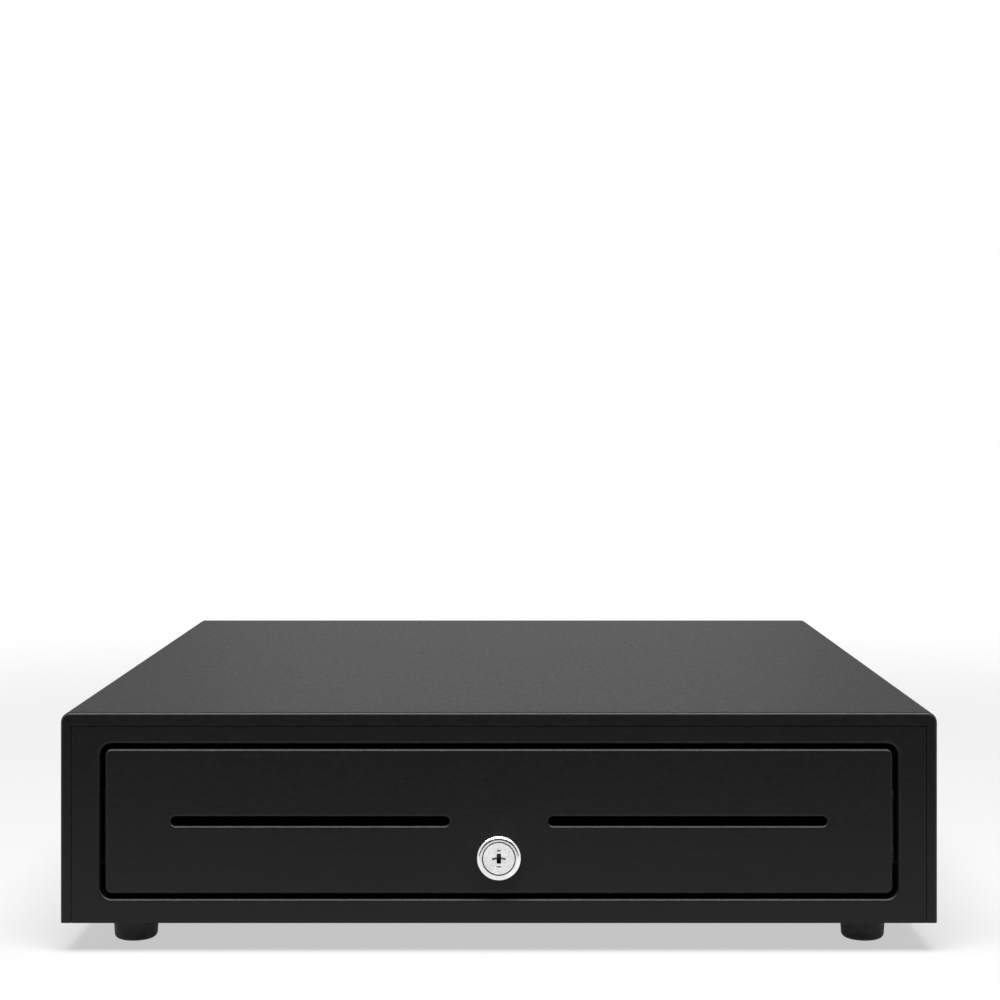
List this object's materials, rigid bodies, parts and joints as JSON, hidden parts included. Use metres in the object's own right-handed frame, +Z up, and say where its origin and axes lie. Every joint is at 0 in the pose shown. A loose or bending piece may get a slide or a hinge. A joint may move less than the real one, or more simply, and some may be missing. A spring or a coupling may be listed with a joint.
{
  "type": "cash drawer",
  "caption": "Steel cash drawer on rubber feet: a casing around a sliding drawer with a flush slotted front, key lock, latch, bill and coin trays.",
  "frame": {"origin": "centre of the overall box on the ground under the feet", "axes": "+Z up, the drawer front faces -Y, +X to the right as seen from the front"},
  "size_m": [0.41, 0.4204, 0.1124],
  "materials": {
    "powder_coat": "fine textured satin black",
    "black_rubber": "matte",
    "zinc_steel": "zinc plated satin",
    "fastener_steel": "satin",
    "black_screw": "satin black",
    "bright_steel": "polished",
    "lock_chrome": "polished",
    "tray_plastic": "fine texture",
    "clip_plastic": "semi gloss",
    "switch_plastic": "matte",
    "coil_tape": "semi gloss tape",
    "wire_sleeve": "matte",
    "nylon": "satin"
  },
  "bodies": {
    "housing": {"base_plate": "powder_coat", "top_cover": "powder_coat", "front_frame": "powder_coat", "rear_panel": "powder_coat", "foot_front_left": "black_rubber", "foot_front_right": "black_rubber", "foot_rear_left": "black_rubber", "foot_rear_right": "black_rubber", "foot_screws": "fastener_steel", "cover_screws": "black_screw", "slide_bracket_left": "zinc_steel", "slide_bracket_right": "zinc_steel", "slide_outer_left": "zinc_steel", "slide_outer_right": "zinc_steel", "slide_rivets": "fastener_steel", "bracket_screws": "fastener_steel", "latch_base": "zinc_steel", "latch_screws": "fastener_steel", "latch_pivot": "zinc_steel", "latch_spring": "bright_steel", "solenoid_yoke": "zinc_steel", "solenoid_coil": "coil_tape", "switch_body": "switch_plastic", "cord_socket": "switch_plastic", "wire_loom": "wire_sleeve", "eject_guides": "zinc_steel", "eject_spring_left": "bright_steel", "eject_spring_right": "bright_steel"},
    "drawer": {"drawer_box": "powder_coat", "drawer_front": "powder_coat", "front_screws": "fastener_steel", "slide_inner_left": "zinc_steel", "slide_inner_right": "zinc_steel", "cash_tray": "tray_plastic", "coin_tray": "tray_plastic", "clip_rod": "zinc_steel", "lock_barrel": "lock_chrome", "lock_nut": "fastener_steel", "rod_bush": "nylon", "striker": "zinc_steel"},
    "lock": {"lock_plug": "lock_chrome", "lock_rod": "zinc_steel"},
    "latch": {"latch_hook": "zinc_steel"},
    "plunger": {"solenoid_plunger": "zinc_steel"},
    "switch_leaf": {"switch_lever": "bright_steel"},
    "cage_left": {"ball_cage_left": "zinc_steel", "slide_balls_left": "bright_steel"},
    "cage_right": {"ball_cage_right": "zinc_steel", "slide_balls_right": "bright_steel"},
    "clip_1": {"bill_clip_1": "clip_plastic", "clip_spring_1": "bright_steel"},
    "clip_2": {"bill_clip_2": "clip_plastic", "clip_spring_2": "bright_steel"},
    "clip_3": {"bill_clip_3": "clip_plastic", "clip_spring_3": "bright_steel"},
    "clip_4": {"bill_clip_4": "clip_plastic", "clip_spring_4": "bright_steel"},
    "clip_5": {"bill_clip_5": "clip_plastic", "clip_spring_5": "bright_steel"}
  },
  "joints": [
    {"name": "drawer_slide", "type": "slide", "parent": "housing", "child": "drawer", "axis": [0, -1, 0], "range_m": [0, 0.29], "deforming": ["eject_spring_left", "eject_spring_right"]},
    {"name": "cage_left_slide", "type": "slide", "parent": "housing", "child": "cage_left", "axis": [0, -1, 0], "range_m": [0, 0.145]},
    {"name": "cage_right_slide", "type": "slide", "parent": "housing", "child": "cage_right", "axis": [0, -1, 0], "range_m": [0, 0.145]},
    {"name": "lock_turn", "type": "hinge", "parent": "drawer", "child": "lock", "pos_m": [0, -0.2066, 0.0448], "axis": [0, 1, 0], "range_deg": [0, 90]},
    {"name": "latch_pivot", "type": "hinge", "parent": "housing", "child": "latch", "pos_m": [0, 0.1454, 0.019], "axis": [0, 0, 1], "range_deg": [0, 16.01], "deforming": ["latch_spring"]},
    {"name": "plunger_slide", "type": "slide", "parent": "housing", "child": "plunger", "axis": [-1, 0, 0], "range_m": [0, 0.01198]},
    {"name": "switch_pivot", "type": "hinge", "parent": "housing", "child": "switch_leaf", "pos_m": [-0.0145, 0.1514, 0.019], "axis": [0, 0, 1], "range_deg": [0, 10.01]},
    {"name": "clip_1_hinge", "type": "hinge", "parent": "drawer", "child": "clip_1", "pos_m": [-0.13484, 0.1204, 0.0717], "axis": [-1, 0, 0], "range_deg": [0, 46], "stiffness_Nm_per_rad": 0.04, "springref_deg": -17.19},
    {"name": "clip_2_hinge", "type": "hinge", "parent": "drawer", "child": "clip_2", "pos_m": [-0.06742, 0.1204, 0.0717], "axis": [-1, 0, 0], "range_deg": [0, 46], "stiffness_Nm_per_rad": 0.04, "springref_deg": -17.19},
    {"name": "clip_3_hinge", "type": "hinge", "parent": "drawer", "child": "clip_3", "pos_m": [0, 0.1204, 0.0717], "axis": [-1, 0, 0], "range_deg": [0, 46], "stiffness_Nm_per_rad": 0.04, "springref_deg": -17.19},
    {"name": "clip_4_hinge", "type": "hinge", "parent": "drawer", "child": "clip_4", "pos_m": [0.06742, 0.1204, 0.0717], "axis": [-1, 0, 0], "range_deg": [0, 46], "stiffness_Nm_per_rad": 0.04, "springref_deg": -17.19},
    {"name": "clip_5_hinge", "type": "hinge", "parent": "drawer", "child": "clip_5", "pos_m": [0.13484, 0.1204, 0.0717], "axis": [-1, 0, 0], "range_deg": [0, 46], "stiffness_Nm_per_rad": 0.04, "springref_deg": -17.19}
  ],
  "couplings": [
    {"joint": "cage_left_slide", "follows": "drawer_slide", "ratio": 0.5},
    {"joint": "cage_right_slide", "follows": "drawer_slide", "ratio": 0.5},
    {"joint": "latch_pivot", "follows": "lock_turn", "ratio": 0.17778},
    {"joint": "plunger_slide", "follows": "lock_turn", "m_per_rad": 0.0076196},
    {"joint": "switch_pivot", "follows": "lock_turn", "ratio": 0.11111}
  ]
}
